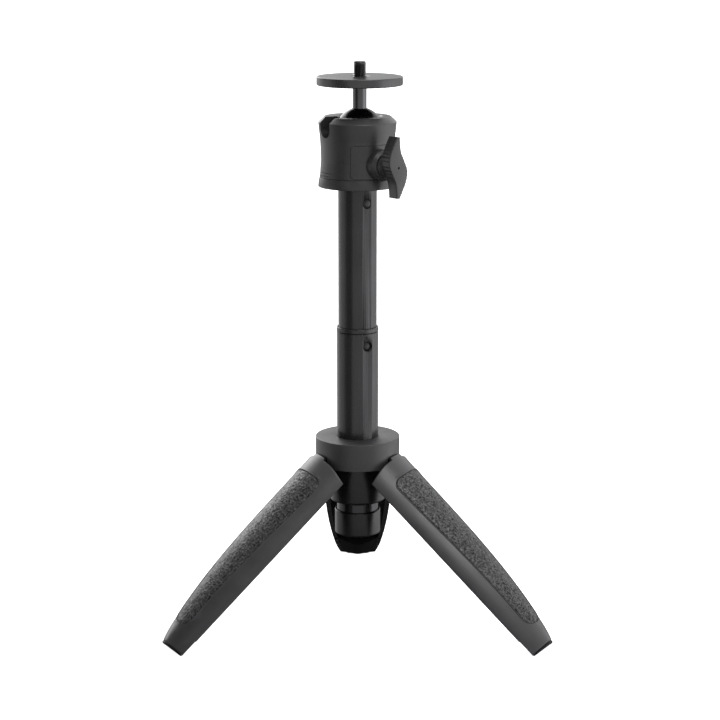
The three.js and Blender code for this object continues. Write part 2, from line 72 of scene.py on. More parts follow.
def middle(node):
    """The middle of a node's box, in millimetres."""
    lowest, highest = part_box(node)
    return (lowest + highest) / 2 / MM


def width(node):
    """A node's size along X, in millimetres."""
    lowest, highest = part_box(node)
    return (highest.x - lowest.x) / MM


AXIS = middle("lower_tube") * Vector((1, 1, 0))
BALL_CENTRE = Vector(JOINTS["ball_tilt"]["pos_m"]) / MM
COLUMN = Matrix.Scale(MM, 4) @ Matrix.Translation(AXIS)
STUD_AXIS = Matrix.Scale(MM, 4) @ Matrix.Translation((BALL_CENTRE.x, BALL_CENTRE.y, 0))


def outward(azimuth, height):
    """A frame on the column's axis: X to the right, Y up and Z outwards, seen from outside."""
    out = Vector((math.cos(azimuth), math.sin(azimuth), 0))
    up = Vector((0, 0, 1))
    turn = Matrix((up.cross(out), up, out)).transposed().to_4x4()
    return COLUMN @ Matrix.Translation((0, 0, height)) @ turn


def azimuth_of(axis):
    return math.atan2(axis[1], axis[0])


KNOB_AXIS = JOINTS["knob_turn"]["axis"]
KNOB_HEIGHT = JOINTS["knob_turn"]["pos_m"][2] / MM
KNOB = outward(azimuth_of(KNOB_AXIS), KNOB_HEIGHT)
BUTTON_AZIMUTH = azimuth_of([-x for x in JOINTS["upper_button_press"]["axis"]])

OPEN_ANGLE = math.radians(50.435)
LEG_TOP = 71.0  # height of a folded leg's side corners
LEG_NAMES = ("rear", "left", "right")


def hinge_of(name):
    """Where a leg's hinge is, from the column's axis, in millimetres."""
    return Vector(JOINTS[f"{name}_leg_fold"]["pos_m"]) / MM - AXIS


def leg_frame(name):
    """From a folded leg, X out from the column and -Z down the leg, to where it stands."""
    hinge = hinge_of(name)
    reach = hinge.xy.length
    drop = Matrix.Translation((-reach, 0, LEG_TOP - hinge.z))
    swing = Matrix.Translation((reach, 0, hinge.z)) @ Matrix.Rotation(-OPEN_ANGLE, 4, "Y")
    return COLUMN @ Matrix.Rotation(math.atan2(hinge.y, hinge.x), 4, "Z") @ swing @ drop


# ---------------- meshes

SHARP = math.radians(32)


def finish_mesh(name, mesh, place):
    """Puts a mesh in its place, with outward faces, smooth apart from its sharp edges."""
    work = bmesh.new()
    work.from_mesh(mesh)
    bmesh.ops.remove_doubles(work, verts=work.verts, dist=1e-5)
    bmesh.ops.recalc_face_normals(work, faces=work.faces)
    work.to_mesh(mesh)
    work.free()
    mesh.transform(place)
    mesh.shade_smooth()
    mesh.set_sharp_from_angle(angle=SHARP)
    piece = bpy.data.objects.new(name, mesh)
    bpy.context.scene.collection.objects.link(piece)
    return piece


def from_points(name, points, faces, place):
    mesh = bpy.data.meshes.new(name)
    mesh.from_pydata([tuple(p) for p in points], [], faces)
    return finish_mesh(name, mesh, place)


def rounded(corners, closed=True, steps=5):
    """An outline of (x, y, radius) corners, each corner with a radius turned into a curve."""
    outline = []
    count = len(corners)
    for k, (x, y, radius) in enumerate(corners):
        corner = Vector((x, y))
        if radius == 0 or (not closed and k in (0, count - 1)):
            outline.append(corner)
            continue
        before = Vector(corners[k - 1][:2]) - corner
        after = Vector(corners[(k + 1) % count][:2]) - corner
        half = before.angle(after) / 2
        reach = min(radius / math.tan(half), 0.49 * before.length, 0.49 * after.length)
        start = corner + before.normalized() * reach
        end = corner + after.normalized() * reach
        for step in range(steps + 1):
            t = step / steps
            outline.append(start * (1 - t) ** 2 + corner * 2 * t * (1 - t) + end * t ** 2)
    return outline


def inset(curve, amount):
    """A closed curve, moved in by an amount, or out by a negative one."""
    count = len(curve)
    moved = []
    for k, point in enumerate(curve):
        along = curve[(k + 1) % count] - curve[k - 1]
        moved.append(point - Vector((along.y, -along.x)).normalized() * amount)
    return moved


def ring_faces(steps, rows, closed=True):
    """Faces of a ring of equal profiles, each of them closed or open."""
    faces = []
    for k in range(steps):
        here, there = k * rows, (k + 1) % steps * rows
        for j in range(rows if closed else rows - 1):
            i = (j + 1) % rows
            faces.append((here + j, there + j, there + i, here + i))
    return faces


def side_faces(levels, count):
    """Faces between closed loops of equally many points, one loop after another."""
    faces = []
    for level in range(levels - 1):
        for k in range(count):
            a, b = level * count + k, level * count + (k + 1) % count
            faces.append((a, b, b + count, a + count))
    return faces


def revolve(name, outline, place=COLUMN, steps=144, radius_at=None):
    """Turns an outline of (radius, height) round Z. radius_at may shape the radius by angle."""
    rows = len(outline)
    closed = outline[0][0] > 0 or outline[-1][0] > 0
    points = []
    for k in range(steps):
        angle = 2 * math.pi * k / steps
        for radius, height in outline:
            r = radius_at(radius, height, angle) if radius_at else radius
            points.append((r * math.cos(angle), r * math.sin(angle), height))
    return from_points(name, points, ring_faces(steps, rows, closed), place)


def sheet(name, columns, rows, point, place):
    """A closed curved sheet: point(column, row, layer) is on its outer (0) or inner (1) face."""
    points = [point(i, j, layer) for layer in (0, 1) for i in range(columns) for j in range(rows)]

    def at(i, j, layer):
        return (layer * columns + i) * rows + j

    faces = []
    for i in range(columns - 1):
        for j in range(rows - 1):
            for layer in (0, 1):
                corners = ((i, j), (i + 1, j), (i + 1, j + 1), (i, j + 1))
                faces.append(tuple(at(a, b, layer) for a, b in corners))
        for j in (0, rows - 1):
            faces.append((at(i, j, 0), at(i + 1, j, 0), at(i + 1, j, 1), at(i, j, 1)))
    for j in range(rows - 1):
        for i in (0, columns - 1):
            faces.append((at(i, j, 0), at(i, j + 1, 0), at(i, j + 1, 1), at(i, j, 1)))
    return from_points(name, points, faces, place)


def loft(name, loops, place):
    """A closed body through loops of equally many points, with a face across each end."""
    count = len(loops[0])
    points = [p for loop in loops for p in loop]
    ends = [tuple(range(count))[::-1], tuple(len(points) - count + k for k in range(count))]
    return from_points(name, points, ends + side_faces(len(loops), count), place)


def settle(piece):
    """Applies a piece's modifiers."""
    scene = bpy.context.evaluated_depsgraph_get()
    mesh = bpy.data.meshes.new_from_object(piece.evaluated_get(scene))
    piece.modifiers.clear()
    piece.data = mesh
    mesh.shade_smooth()
    mesh.set_sharp_from_angle(angle=SHARP)


def cut(piece, *tools):
    """Cuts the tools away from a piece, and removes them."""
    for tool in tools:
        step = piece.modifiers.new("cut", "BOOLEAN")
        step.operation = "DIFFERENCE"
        step.solver = "EXACT"
        step.object = tool
    settle(piece)
    for tool in tools:
        bpy.data.objects.remove(tool)
    return piece


def join(piece, *others):
    """Puts closed bodies together in one piece."""
    work = bmesh.new()
    for part in (piece, *others):
        work.from_mesh(part.data)
    work.to_mesh(piece.data)
    work.free()
    for part in others:
        bpy.data.objects.remove(part)
    piece.data.set_sharp_from_angle(angle=SHARP)
    return piece


def soften(piece, radius, segments=2):
    """Rounds a cut piece's sharp edges."""
    step = piece.modifiers.new("soften", "BEVEL")
    step.width = radius * MM
    step.segments = segments
    step.limit_method = "ANGLE"
    step.angle_limit = SHARP
    step.harden_normals = True
    settle(piece)
    return piece


def show(piece, body, slot, material, *nodes):
    """Gives a piece its body, material and the CAD nodes that it stands for; its slot argument is not used.
    """
    piece.data.materials.clear()
    piece.data.materials.append(material)
    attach(piece, body)
    if nodes:
        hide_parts(*nodes)
    return piece


# ---------------- materials

def fill(node, **values):
    """Sets a node's inputs; an underscore in a name stands for a space."""
    for name, value in values.items():
        node.inputs[name.replace("_", " ")].default_value = value


def new_material(name, colour, roughness, metallic=0.0, specular=0.5):
    material = bpy.data.materials.new(name)
    material.use_nodes = True
    nodes, links = material.node_tree.nodes, material.node_tree.links
    shader = nodes["Principled BSDF"]
    fill(shader, Base_Color=(*colour, 1), Roughness=roughness, Metallic=metallic)
    fill(shader, Specular_IOR_Level=specular)
    return material, nodes, links, shader


def noise_node(nodes, links, scale, detail=3.0, stretch=(1, 1, 1)):
    """Noise in the object's own space; scale is in features per metre."""
    place = nodes.new("ShaderNodeTexCoord")
    mapping = nodes.new("ShaderNodeMapping")
    fill(mapping, Scale=stretch)
    texture = nodes.new("ShaderNodeTexNoise")
    fill(texture, Scale=scale, Detail=detail)
    links.new(place.outputs["Object"], mapping.inputs["Vector"])
    links.new(mapping.outputs["Vector"], texture.inputs["Vector"])
    return texture


def spread(nodes, links, source, low_value, high_value):
    """Maps noise, which mostly lies between 0.3 and 0.7, to a range."""
    span = nodes.new("ShaderNodeMapRange")
    fill(span, From_Min=0.3, From_Max=0.7, To_Min=low_value, To_Max=high_value)
    links.new(source, span.inputs["Value"])
    return span.outputs["Result"]


def add_bump(nodes, links, shader, height, strength, depth_mm):
    bump = nodes.new("ShaderNodeBump")
    fill(bump, Strength=strength, Distance=depth_mm * MM)
    links.new(height, bump.inputs["Height"])
    links.new(bump.outputs["Normal"], shader.inputs["Normal"])


def tint(nodes, links, shader, pattern, dark, light):
    """Base colour between two shades, by a 0 to 1 pattern."""
    mix = nodes.new("ShaderNodeMix")
    mix.data_type = "RGBA"
    fill(mix, A=(*dark, 1), B=(*light, 1))
    links.new(pattern, mix.inputs["Factor"])
    links.new(mix.outputs["Result"], shader.inputs["Base Color"])


def edge_highlight(nodes, links, pattern, amount):
    """Adds a painted highlight, a lighter line along convex edges, to a 0 to 1 pattern."""
    geometry = nodes.new("ShaderNodeNewGeometry")
    edge = nodes.new("ShaderNodeMapRange")
    fill(edge, From_Min=0.52, From_Max=0.62, To_Max=amount)
    links.new(geometry.outputs["Pointiness"], edge.inputs["Value"])
    total = nodes.new("ShaderNodeMath")
    total.operation = "ADD"
    total.use_clamp = True
    links.new(pattern, total.inputs[0])
    links.new(edge.outputs["Result"], total.inputs[1])
    return total.outputs["Value"]


def moulded(name, shade, roughness, grain=0.05, specular=0.5):
    """Moulded plastic: a fine spark grain, cloudy gloss and a painted highlight along its edges."""
    material, nodes, links, shader = new_material(name, (shade,) * 3, roughness, specular=specular)
    fine = noise_node(nodes, links, 5200, 2.0)
    cloud = noise_node(nodes, links, 90, 4.0)
    shades = spread(nodes, links, cloud.outputs["Fac"], 0.0, 0.45)
    # Painted highlight along convex edges.
    shades = edge_highlight(nodes, links, shades, 0.55)
    tint(nodes, links, shader, shades, (shade * 0.88, shade * 0.84, shade * 0.9),
         (shade * 1.4, shade * 1.33, shade * 1.44))
    gloss = spread(nodes, links, cloud.outputs["Fac"], roughness - 0.05, roughness + 0.06)
    links.new(gloss, shader.inputs["Roughness"])
    add_bump(nodes, links, shader, fine.outputs["Fac"], 0.35, grain)
    return material


def anodised(name, shade, roughness, metallic=0.75, specular=0.5):
    """Dark anodised aluminium: fine drawn lines along the tube, a cloudy sheen and a painted edge highlight.
    """
    material, nodes, links, shader = new_material(name, (shade,) * 3, roughness, metallic, specular)
    drawn = noise_node(nodes, links, 2600, 2.0, (1, 1, 0.015))
    cloud = noise_node(nodes, links, 60, 3.0)
    shades = spread(nodes, links, cloud.outputs["Fac"], 0.0, 0.5)
    # Painted highlight along convex edges.
    shades = edge_highlight(nodes, links, shades, 0.5)
    tint(nodes, links, shader, shades, (shade * 0.9, shade * 0.9, shade * 0.92),
         (shade * 1.3, shade * 1.3, shade * 1.36))
    gloss = spread(nodes, links, drawn.outputs["Fac"], roughness - 0.04, roughness + 0.07)
    links.new(gloss, shader.inputs["Roughness"])
    add_bump(nodes, links, shader, drawn.outputs["Fac"], 0.12, 0.01)
    return material


def polished(name, shade, roughness):
    """Polished black: near mirror, with faint swirls in its gloss."""
    material, nodes, links, shader = new_material(name, (shade,) * 3, roughness, specular=0.16)
    swirl = noise_node(nodes, links, 260, 5.0)
    gloss = spread(nodes, links, swirl.outputs["Fac"], roughness, roughness + 0.08)
    links.new(gloss, shader.inputs["Roughness"])
    shader.inputs["Coat Weight"].default_value = 0.05
    shader.inputs["Coat Roughness"].default_value = 0.06
    return material


def pebbled(name, shade):
    """Grip rubber: pale blotches of painted highlight over dark blotches of painted shade, a painted edge
    highlight and a fine skin.
    """
    material, nodes, links, shader = new_material(name, (shade,) * 3, 0.6, specular=0.5)
    blotch = noise_node(nodes, links, 1100, 2.0)
    skin = noise_node(nodes, links, 4200, 2.0)
    # Painted light and shade: pale blotches stand for lit crowns, dark ones for shade in the valleys.
    shades = spread(nodes, links, blotch.outputs["Fac"], 0.0, 0.75)
    # Painted highlight along convex edges.
    shades = edge_highlight(nodes, links, shades, 0.7)
    tint(nodes, links, shader, shades, (shade * 0.3, shade * 0.28, shade * 0.32),
         (shade * 1.8, shade * 1.72, shade * 1.9))
    gloss = spread(nodes, links, blotch.outputs["Fac"], 0.55, 0.36)
    links.new(gloss, shader.inputs["Roughness"])
    shine = spread(nodes, links, blotch.outputs["Fac"], 0.1, 0.9)
    links.new(shine, shader.inputs["Specular IOR Level"])
    add_bump(nodes, links, shader, skin.outputs["Fac"], 0.5, 0.06)
    return material


SHELL = moulded("charcoal_shell", 0.019, 0.38)
HUB = moulded("charcoal_hub", 0.018, 0.44)
HEAD = moulded("charcoal_head", 0.014, 0.38)
WING = moulded("charcoal_knob", 0.015, 0.38)
BLACK = moulded("black_moulding", 0.004, 0.28, grain=0.03, specular=0.3)
INNER = moulded("black_lining", 0.0015, 0.24, grain=0.02, specular=0.45)
SOLE = moulded("sole_rubber", 0.003, 0.5, grain=0.05, specular=0.15)
GRIP = pebbled("pebbled_grip", 0.010)
TUBE = anodised("anodised_tube", 0.035, 0.24)
DISC = anodised("anodised_disc", 0.05, 0.28)
STEEL = anodised("dark_steel", 0.075, 0.24, metallic=1.0)
SPLIT_RING = anodised("split_ring", 0.035, 0.26, metallic=1.0)
BALL_BLACK = polished("polished_ball", 0.0015, 0.2)

# ---------------- camera and light


CAMERA_OFFSET = Vector((1.14, -944.8, 336.7))  # from the column's foot, in millimetres
CAMERA_PITCH = math.radians(90 - 12.694)
CAMERA_LENS = 104.69


def add_camera():
    """A long lens in front of the column, looking slightly down at it."""
    data = bpy.data.cameras.new("camera")
    data.sensor_width = 36.0
    data.lens = CAMERA_LENS
    data.clip_start = 0.01
    camera = bpy.data.objects.new("camera", data)
    bpy.context.scene.collection.objects.link(camera)
    camera.location = (AXIS + CAMERA_OFFSET) * MM
    camera.rotation_euler = (CAMERA_PITCH, 0, 0)
    bpy.context.scene.camera = camera


def area_light(name, azimuth, elevation, distance, size, power):
    """A soft box that faces the column's middle; azimuth is 0 in front and grows to the right."""
    data = bpy.data.lights.new(name, "AREA")
    data.shape = "RECTANGLE"
    data.size, data.size_y = size
    data.energy = power
    light = bpy.data.objects.new(name, data)
    bpy.context.scene.collection.objects.link(light)
    turn, tip = math.radians(azimuth), math.radians(elevation)
    away = Vector((math.sin(turn) * math.cos(tip), -math.cos(turn) * math.cos(tip), math.sin(tip)))
    target = AXIS * MM + Vector((0, 0, 0.13))
    light.location = target + away * distance
    light.rotation_euler = away.to_track_quat("Z", "Y").to_euler()
    light.visible_camera = False


# Brightness round the studio: (azimuth in degrees, brightness), below and above eye level.
LOW_RING = [(-180, 0.05), (-166, 0.1), (-150, 1.1), (-88, 1.1), (-66, 0.18), (-34, 0.16),
            (-27, 0.95), (48, 1.0), (66, 2.8), (100, 2.9), (120, 1.5), (158, 0.3), (180, 0.05)]
HIGH_RING = [(-180, 0.7), (-166, 4.6), (-140, 4.6), (-118, 0.25), (-10, 0.25), (10, 0.8),
             (60, 1.1), (100, 1.9), (160, 1.6), (180, 0.7)]
OVERHEAD = 1.1
UNDERNEATH = 0.06


def brightness_ring(nodes, links, azimuth, stops):
    """A colour ramp over the azimuth, which runs from 0 to 1."""
    ramp = nodes.new("ShaderNodeValToRGB")
    elements = ramp.color_ramp.elements
    while len(elements) < len(stops):
        elements.new(0.5)
    for element, (degrees, level) in zip(elements, stops):
        element.position = (degrees + 180) / 360
        element.color = (level, level, level * 1.01, 1)
    links.new(azimuth, ramp.inputs["Fac"])
    return ramp.outputs["Color"]


def blend(nodes, links, factor, first, second):
    mix = nodes.new("ShaderNodeMix")
    mix.data_type = "RGBA"
    links.new(factor, mix.inputs["Factor"])
    for socket, value in (("A", first), ("B", second)):
        if isinstance(value, tuple):
            mix.inputs[socket].default_value = value
        else:
            links.new(value, mix.inputs[socket])
    return mix.outputs["Result"]


def ramped(nodes, links, value, start, end):
    """0 below start, 1 above end, smooth between."""
    span = nodes.new("ShaderNodeMapRange")
    span.interpolation_type = "SMOOTHSTEP"
    fill(span, From_Min=start, From_Max=end)
    links.new(value, span.inputs["Value"])
    return span.outputs["Result"]


def add_surroundings():
    """A soft white studio: bright strips at the back left and right, dimmer in front."""
    world = bpy.data.worlds.new("studio")
    bpy.context.scene.world = world
    world.use_nodes = True
    nodes, links = world.node_tree.nodes, world.node_tree.links
    place = nodes.new("ShaderNodeTexCoord")
    split = nodes.new("ShaderNodeSeparateXYZ")
    links.new(place.outputs["Generated"], split.inputs["Vector"])
    forward = nodes.new("ShaderNodeMath")
    forward.operation = "MULTIPLY"
    forward.inputs[1].default_value = -1
    links.new(split.outputs["Y"], forward.inputs[0])
    turn = nodes.new("ShaderNodeMath")
    turn.operation = "ARCTAN2"
    links.new(split.outputs["X"], turn.inputs[0])
    links.new(forward.outputs["Value"], turn.inputs[1])
    share = nodes.new("ShaderNodeMapRange")
    fill(share, From_Min=-math.pi, From_Max=math.pi)
    links.new(turn.outputs["Value"], share.inputs["Value"])
    low_ring = brightness_ring(nodes, links, share.outputs["Result"], LOW_RING)
    high_ring = brightness_ring(nodes, links, share.outputs["Result"], HIGH_RING)
    up = split.outputs["Z"]
    sides = blend(nodes, links, ramped(nodes, links, up, -0.08, 0.2), low_ring, high_ring)
    underneath = (UNDERNEATH, UNDERNEATH, UNDERNEATH, 1)
    sides = blend(nodes, links, ramped(nodes, links, up, -0.62, -0.3), underneath, sides)
    overhead = (OVERHEAD, OVERHEAD, OVERHEAD, 1)
    total = blend(nodes, links, ramped(nodes, links, up, 0.72, 0.9), sides, overhead)
    seen = nodes.new("ShaderNodeLightPath")
    total = blend(nodes, links, seen.outputs["Is Camera Ray"], total, (1.05, 1.05, 1.05, 1))
    links.new(total, nodes["Background"].inputs["Color"])


def add_floor():
    """A plain pale floor, bright where the camera sees it, that glossy surfaces don't mirror."""
    bpy.ops.mesh.primitive_plane_add(size=24, location=(0, 0, -0.0002))
    floor = bpy.context.object
    floor.name = "floor"
    material, nodes, links, shader = new_material("pale_floor", (0.8, 0.8, 0.8), 1.0, specular=0.0)
    seen = nodes.new("ShaderNodeLightPath")
    fill(shader, Emission_Color=(1, 1, 1, 1))
    links.new(seen.outputs["Is Camera Ray"], shader.inputs["Emission Strength"])
    floor.data.materials.append(material)
    floor.visible_glossy = False


def add_studio():
    bpy.context.scene.view_settings.view_transform = "Standard"
    add_surroundings()
    area_light("top_box", 30, 56, 1.2, (0.6, 0.5), 6.5)
    area_light("low_fill", -30, 16, 1.3, (0.5, 0.3), 0.5)
    add_floor()


add_camera()
add_studio()

# ---------------- hub


SLOT_ROOF = 81.5  # the collar's slots end here, above the legs' arms
SLOT_LIP = 80.35  # and lower at the collar's face, just above the open legs


def collar():
    """The round collar, with a slot below for each leg's arm; the pins through its ears are kept CAD pieces.
    """
    radius = width("hub_collar") / 2
    bottom, top = low("hub_collar"), high("hub_collar")
    outline = rounded([
        (11.1, bottom, 0), (radius, bottom, 0.25), (radius, SLOT_LIP + 0.5, 0), (radius, SLOT_LIP + 2.5, 0),
        (radius, top, 0.35), (9.66, top, 0.2), (9.66, top - 0.8, 0), (10.0, top - 0.8, 0),
        (10.0, top - 1.8, 0), (11.1, top - 1.8, 0),
    ])
    piece = revolve("hub_collar_body", outline, steps=180)
    slots = []
    for name in LEG_NAMES:
        hinge = hinge_of(name)
        place = COLUMN @ Matrix.Rotation(math.atan2(hinge.y, hinge.x), 4, "Z")
        for near, far, roof in ((9, 17.7, SLOT_ROOF), (17, 36, SLOT_LIP)):
            corners = [(near, -4.65), (far, -4.65), (far, 4.65), (near, 4.65)]
            loops = [[(x, y, z) for x, y in corners] for z in (bottom - 2, roof)]
            slots.append(loft(f"slot_{name}", loops, place))
    cut(piece, *slots)
    return soften(piece, 0.22)


def sleeve():
    bottom, top = low("hub_sleeve"), low("hub_collar") - 0.3
    radius = width("hub_sleeve") / 2
    outline = rounded([
        (10.0, bottom, 0.3), (radius, bottom, 1.3), (radius, top, 0.2), (10.8, top, 0),
        (10.8, high("hub_sleeve"), 0.2), (10.0, high("hub_sleeve"), 0.2),
    ])
    return revolve("hub_sleeve_body", outline)


show(collar(), "hub", "hub", HUB, "hub_collar")
show(sleeve(), "hub", "black_moulding", BLACK, "hub_sleeve")

# ---------------- legs

LEG_LENGTH = 106.56
HALF_ANGLE = math.radians(59.5)
SKIN = 1.8
PAD_START, PAD_END = 6.0, 95.6
PAD_TOP_CORNER, PAD_END_CORNER = 4.0, 5.0
FOOT_BAND = 0.55
LINER_HALF = math.radians(52)
EDGE_SKIN = 0.85  # the shell is thin along its sides, where the lining wraps it


def handle_radius(distance):
    """Outer radius of the folded handle at a distance down the leg."""
    t = (distance - 22.88) / 120
    return 19.355 - 1.775 * t - 2.012 * t ** 2 - 15.965 * t ** 3


TIP_START, TIP_TAPER = 98.4, 0.1  # the tip's sides draw in over the last few millimetres
SEAM_SLOPE = math.tan(math.radians(60))


def drawn_in(x, y, distance):
    """A point of the leg, moved in along the seam between folded legs where the tip tapers."""
    share = max(0, distance - TIP_START) / (LEG_LENGTH - TIP_START)
    moved = y * TIP_TAPER * share ** 2
    return (x - abs(moved) / SEAM_SLOPE, y - moved, -distance)


def leg_point(distance, angle, depth):
    """A point of the leg by distance down it, angle from its middle and depth below its face."""
    radius = handle_radius(distance) - depth
    return drawn_in(radius * math.cos(angle), radius * math.sin(angle), distance)


def on_floor(point, place):
    """The point, or the floor above it where the leg would go through the floor."""
    standing = place @ Vector(point)
    standing.z = max(standing.z, 0)
    return place.inverted() @ standing


TOP_EDGE = [(0, -4.2), (12.4, -4.2), (12.9, -3.9), (13.1, -3.2), (13.6, -2.9), (28.4, -2.7),
            (37, -2.07), (59.5, 0)]


def top_edge(angle):
    """Where the shell starts at an angle: a tab in the middle, then a falling shoulder."""
    angles, starts = zip(*TOP_EDGE)
    return float(np.interp(abs(math.degrees(angle)), angles, starts))


def pad_half_width(distance):
    side = 11.89 - 0.0213 * distance - 0.000438 * distance ** 2
    into_top = min(max(PAD_START + PAD_TOP_CORNER - distance, 0), PAD_TOP_CORNER)
    into_end = min(max(distance - PAD_END + PAD_END_CORNER, 0), PAD_END_CORNER)
    side -= PAD_TOP_CORNER - math.sqrt(PAD_TOP_CORNER ** 2 - into_top ** 2)
    return side - PAD_END_CORNER + math.sqrt(PAD_END_CORNER ** 2 - into_end ** 2)


def pad_angle(distance):
    """The pad's half angle at a distance, held at its end values past its ends."""
    held = min(max(distance, PAD_START), PAD_END)
    return math.asin(pad_half_width(held) / handle_radius(held))


def pad_rows(step):
    """Rows down the pad: round its corners by their arcs, and evenly between."""
    top, end = PAD_START + PAD_TOP_CORNER, PAD_END - PAD_END_CORNER
    turns = [math.pi / 2 * k / 10 for k in range(10)]
    middle_rows = round((end - top) / step)
    rows = [top - PAD_TOP_CORNER * math.cos(turn) for turn in turns]
    rows += [top + (end - top) * k / middle_rows for k in range(middle_rows)]
    return rows + [end + PAD_END_CORNER * math.sin(math.pi / 2 * k / 10) for k in range(11)]


LIP = [(0.75, 0.0), (0.6, -0.16), (0.45, -0.24), (0.32, -0.22), (0.06, 0.1), (0.04, 0.95)]
EDGE_ROUND = 0.45


def fillet(distance):
    """How far a rounded edge falls below its face, at a distance in from the edge."""
    if distance >= EDGE_ROUND:
        return 0.0
    return EDGE_ROUND - math.sqrt(EDGE_ROUND ** 2 - (EDGE_ROUND - distance) ** 2)


RELIEF_START, RELIEF = 97.6, 0.32


def relief(distance):
    """How far the side edges step in near the foot."""
    return RELIEF if distance > RELIEF_START else 0.0


def shell(name):
    """The leg's outer shell, with rounded edges and a pocket for the grip pad."""
    end = LEG_LENGTH - FOOT_BAND - 0.15
    place = leg_frame(name)
    steps_in = [0.0, 0.04, 0.13, 0.27, EDGE_ROUND]
    # Rows: ("top", share) runs with the top edge, ("at", distance) is straight across.
    rows = [("rim", s, 0.0) for s in steps_in]
    rows += [("top", k / 6, 0.0) for k in range(1, 6)]
    rows += [("at", PAD_START - out, dip) for out, dip in LIP]
    rows += [("at", s, 1.0) for s in pad_rows(1.6)[1:-1]]
    rows += [("at", PAD_END + out, dip) for out, dip in reversed(LIP)]
    tail = PAD_END + LIP[0][0]
    extra = [s for s in (RELIEF_START - 0.1, RELIEF_START + 0.1) if s > tail]
    spaced = [tail + (end - EDGE_ROUND - tail) * k / 8 for k in range(1, 8)]
    rows += [("at", s, 0.0) for s in sorted(spaced + extra)]
    rows += [("at", end - s, 0.0) for s in reversed(steps_in)]

    # Columns of one half, from the side edge inwards: the edge, the side face, the lip, the pocket.
    half = [("edge", s) for s in steps_in] + [("side", k / 7) for k in range(1, 7)]
    half += [("lip", k) for k in range(len(LIP))]
    pocket = [0.93, 0.8, 0.66, 0.575, 0.56, 0.545, 0.53, 0.4, 0.25, 0.1]
    half += [("floor", share) for share in pocket]
    columns = [(-1, *c) for c in half] + [(1, *c) for c in reversed(half)]

    def angle_of(side, kind, value, distance):
        radius = handle_radius(distance)
        edge = HALF_ANGLE - relief(distance) / radius
        pad = pad_angle(distance)
        if kind == "edge":
            return side * (edge - value / radius)
        if kind == "side":
            outer, inner = edge - EDGE_ROUND / radius, pad + (LIP[0][0] + 0.1) / radius
            return side * (outer + (inner - outer) * value)
        if kind == "lip":
            return side * (pad + LIP[value][0] / radius)
        return side * pad * value

    def point(i, j, layer):
        side, kind, value = columns[i]
        mode, amount, dip = rows[j]
        distance = amount if mode == "at" else 3.0
        angle = angle_of(side, kind, value, distance)
        if mode != "at":
            start = top_edge(angle)
            reach = PAD_START - LIP[0][0] - start
            distance = start + amount if mode == "rim" else start + reach * amount
        from_side = (HALF_ANGLE - abs(angle)) * handle_radius(distance)
        from_end = min(distance - top_edge(angle), end - distance)
        edge_dip = fillet(max(from_end, 0)) + fillet(max(from_side, 0))
        if layer == 1:
            skin = SKIN if abs(angle) < LINER_HALF else EDGE_SKIN
            return on_floor(leg_point(distance, angle, skin - min(edge_dip, 0.6) * 0.4), place)
        pocket_dip = 0.0
        if dip != 0 and kind in ("lip", "floor"):
            across = LIP[value][1] if kind == "lip" else 0.95
            pocket_dip = min(across, dip)
        return on_floor(leg_point(distance, angle, min(edge_dip, 0.8) + pocket_dip), place)

    return sheet(f"{name}_shell_body", len(columns), len(rows), point, place)


def pebble(place, seed):
    """Height of the pebbled grain at a point of the pad, from -1 to 1."""
    spot = Vector((place[0] * 0.95, place[1] * 0.95, place[2] * 0.95 + seed))
    near, next_near = noise.voronoi(spot)[0][:2]
    crown = min(1.0, (next_near - near) * 2.2)
    return crown * 1.3 - 0.8 + 0.4 * noise.noise(spot * 2.3)


def grip_pad(name, seed):
    """The inset grip: gently crowned, edges rolled down, with a real pebbled surface."""
    rows = pad_rows(0.34)
    columns = 74
    roll = 0.5

    def point(i, j, layer):
        distance = rows[j]
        half = pad_half_width(distance) - 0.02
        across = half * (2 * i / (columns - 1) - 1)
        angle = math.asin(across / handle_radius(distance))
        if layer == 1:
            return leg_point(distance, angle, 0.62)
        from_edge = min(half - abs(across), distance - PAD_START, PAD_END - distance)
        rise = math.sqrt(1 - (1 - min(from_edge, roll) / roll) ** 2)
        base = leg_point(distance, angle, 0)
        grain = 0.17 * pebble(base, seed) * rise
        return leg_point(distance, angle, 0.45 - 0.33 * rise - grain)

    return sheet(f"{name}_grip_body", columns, len(rows), point, leg_frame(name))


LINER_END = 89.2
RIB_HALF = math.radians(51)
RIB_PITCH = 8.3


def rib_reach(distance):
    """How far in the ribs reach: clear of the hub's sleeve, then of the end cap, then deeper."""
    return 13.4 if distance < 20 else 11.55 - 0.2 * max(0, distance - 82)


def rib(name, k, first, side, outer, depth):
    """One straight rib that crosses the channel on a slant."""
    thickness = 0.9

    def point(i, j, layer):
        share = i / 16
        distance = min(first + share * RIB_PITCH + (layer - 0.5) * thickness, LINER_END - 0.3)
        angle = side * (RIB_HALF - 0.03) * (2 * share - 1)
        bottom = handle_radius(distance) - rib_reach(distance)
        return leg_point(distance, angle, outer + (bottom - outer) * j / 4)

    return sheet(f"rib_{name}_{k}", 17, 5, point, leg_frame(name))


def rail(name, side, outer):
    """A narrow rail inside each lower side of the channel."""

    def point(i, j, layer):
        distance = 62 + 27 * j / 12
        angle = side * (RIB_HALF - 0.05 - 0.045 * layer)
        return leg_point(distance, angle, outer + 2.2 * i)

    return sheet(f"rail_{name}_{side}", 2, 13, point, leg_frame(name))


